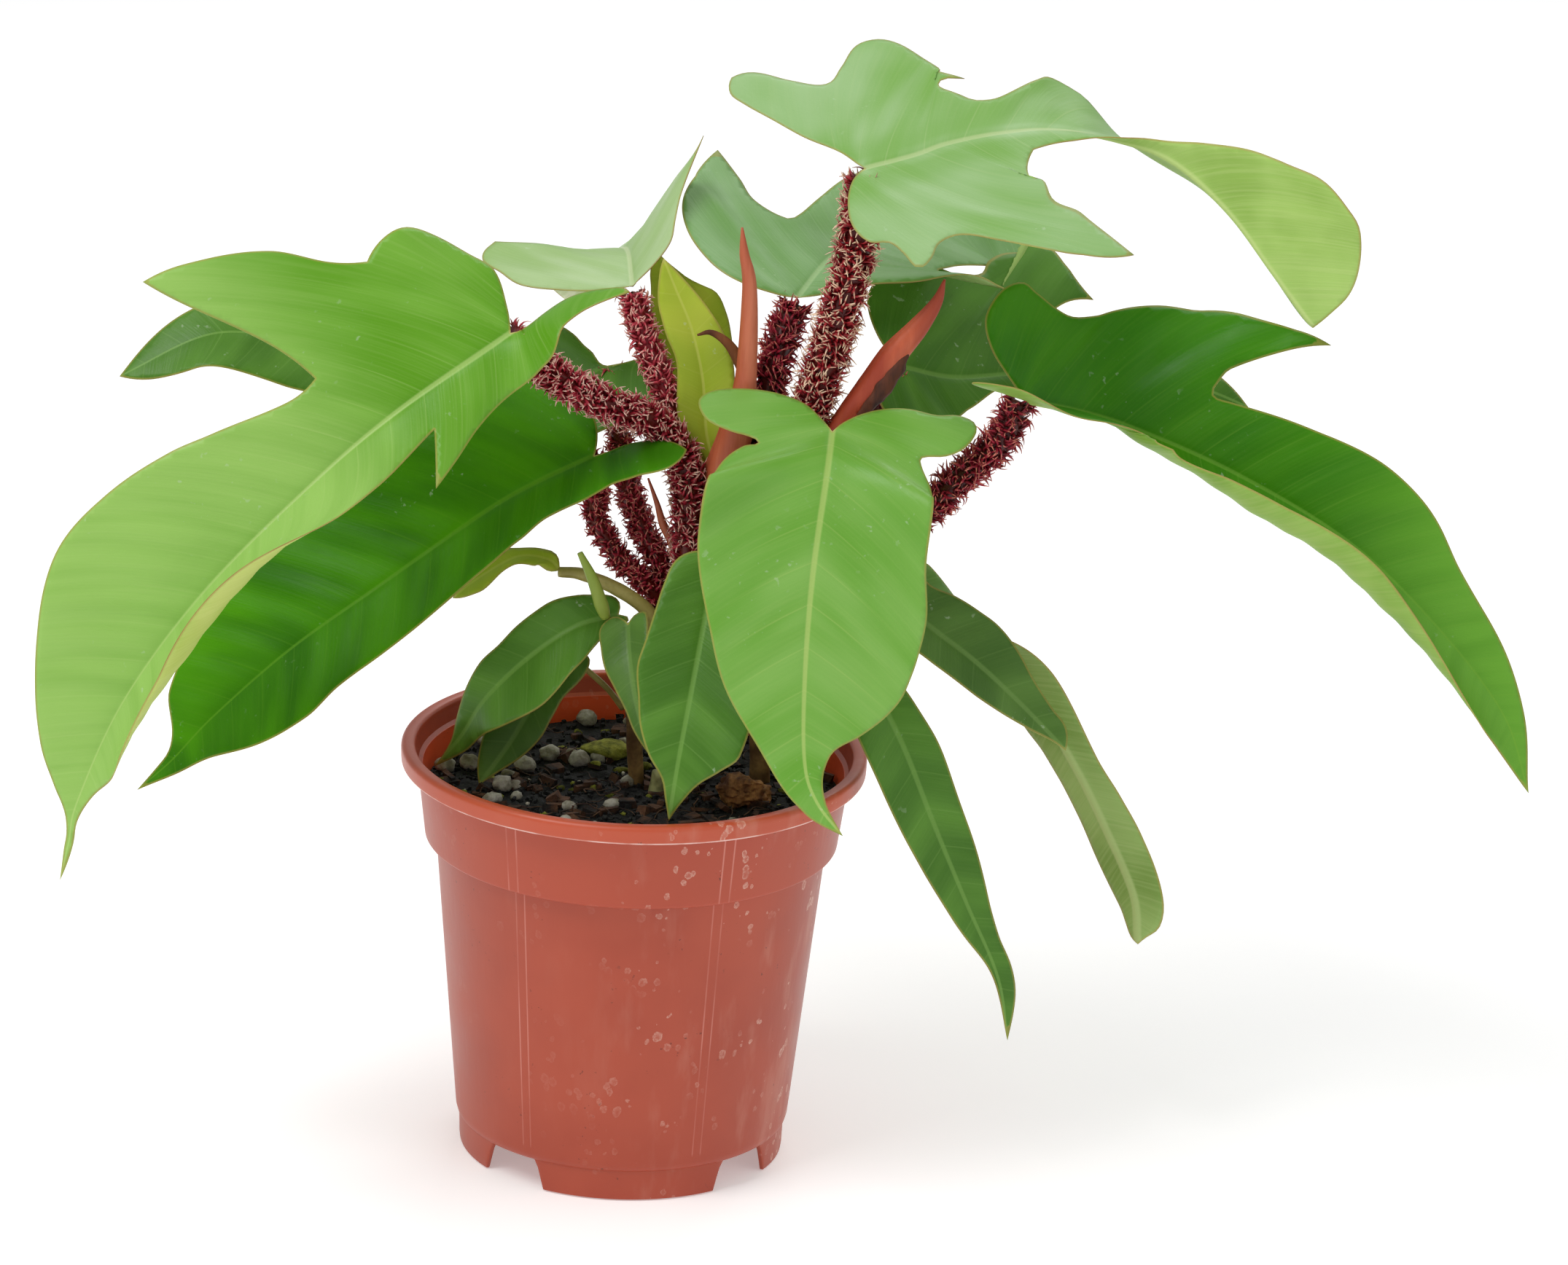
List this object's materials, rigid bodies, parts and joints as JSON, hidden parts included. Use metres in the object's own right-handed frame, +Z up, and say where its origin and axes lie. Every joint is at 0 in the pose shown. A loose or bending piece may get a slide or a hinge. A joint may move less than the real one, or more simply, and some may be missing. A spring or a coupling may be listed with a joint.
{
  "type": "potted plant",
  "caption": "Potted philodendron with red bristly petioles and glossy lobed leaves in a terracotta-coloured plastic nursery pot.",
  "frame": {"origin": "bottom centre of the whole plant's bounding box, on the plane the pot's feet stand on; the pot's axis is at x = -0.0452, y = -0.01115", "axes": "+Z up along the pot's axis, -Y towards the front of the plant, +X to the plant's right as seen from the front, along its longest spread"},
  "size_m": [0.4377, 0.2156, 0.3355],
  "materials": {
    "terracotta_plastic": "semi-gloss terracotta-coloured moulded plastic, slightly scratched, with pale lime spots",
    "potting_soil": "dark moist bark and peat mix",
    "leaf_bright_green": "leathery satin, bright yellow-green",
    "leaf_deep_green": "leathery satin, deep green",
    "leaf_milky_green": "leathery satin, milky pale green",
    "leaf_yellow_green": "young leaf, yellow-green",
    "petiole_crimson": "dark crimson stalk under fleshy pink bristles",
    "stalk_olive": "smooth olive-yellow stalk",
    "stem_brown_green": "woody brown-green stem",
    "sheath_orange_red": "papery orange-red sheath",
    "sheath_dry_brown": "dry brown husk",
    "pellet_grey": "matt grey clay granule",
    "moss_olive": "soft olive moss",
    "bark_brown": "dead brown stem base",
    "stub_pale_green": "old pale green stub"
  },
  "bodies": {
    "root": {"dead_stem": "bark_brown", "leaf_front": "leaf_bright_green", "leaf_front_small": "leaf_deep_green", "leaf_left_back": "leaf_deep_green", "leaf_left_big": "leaf_bright_green", "leaf_left_lower": "leaf_deep_green", "leaf_right_back": "leaf_deep_green", "leaf_right_big": "leaf_deep_green", "leaf_right_low": "leaf_deep_green", "leaf_right_short": "leaf_deep_green", "leaf_right_turned": "leaf_milky_green", "leaf_rolled": "leaf_yellow_green", "leaf_shoot_front": "leaf_deep_green", "leaf_shoot_left": "leaf_bright_green", "leaf_shoot_low": "leaf_deep_green", "leaf_shoot_upper": "leaf_yellow_green", "leaf_top_mid": "leaf_deep_green", "leaf_top_right": "leaf_milky_green", "leaf_upper_left": "leaf_milky_green", "leaf_yellow": "leaf_yellow_green", "leaf_yellow_back": "leaf_yellow_green", "moss": "moss_olive", "pellet_1": "pellet_grey", "pellet_2": "pellet_grey", "pellet_3": "pellet_grey", "pellet_4": "pellet_grey", "pellet_5": "pellet_grey", "pellet_6": "pellet_grey", "pellet_7": "pellet_grey", "petiole_front": "petiole_crimson", "petiole_front_small": "petiole_crimson", "petiole_left_back": "petiole_crimson", "petiole_left_big": "petiole_crimson", "petiole_left_lower": "petiole_crimson", "petiole_right_back": "petiole_crimson", "petiole_right_big": "petiole_crimson", "petiole_top_mid": "petiole_crimson", "petiole_top_right": "petiole_crimson", "petiole_upper_left": "petiole_crimson", "pot": "terracotta_plastic", "sheath_dry": "sheath_dry_brown", "sheath_right": "sheath_orange_red", "sheath_small": "sheath_orange_red", "sheath_tall": "sheath_orange_red", "soil": "potting_soil", "stalk_right_low": "stalk_olive", "stalk_right_short": "stalk_olive", "stalk_right_turned": "stalk_olive", "stalk_shoot_front": "stalk_olive", "stalk_shoot_low": "stalk_olive", "stalk_shoot_upper": "stalk_olive", "stalk_yellow": "stalk_olive", "stalk_yellow_back": "stalk_olive", "stem_left": "stalk_olive", "stem_main": "stem_brown_green", "stem_right": "stalk_olive", "stub": "stub_pale_green"}
  },
  "joints": []
}
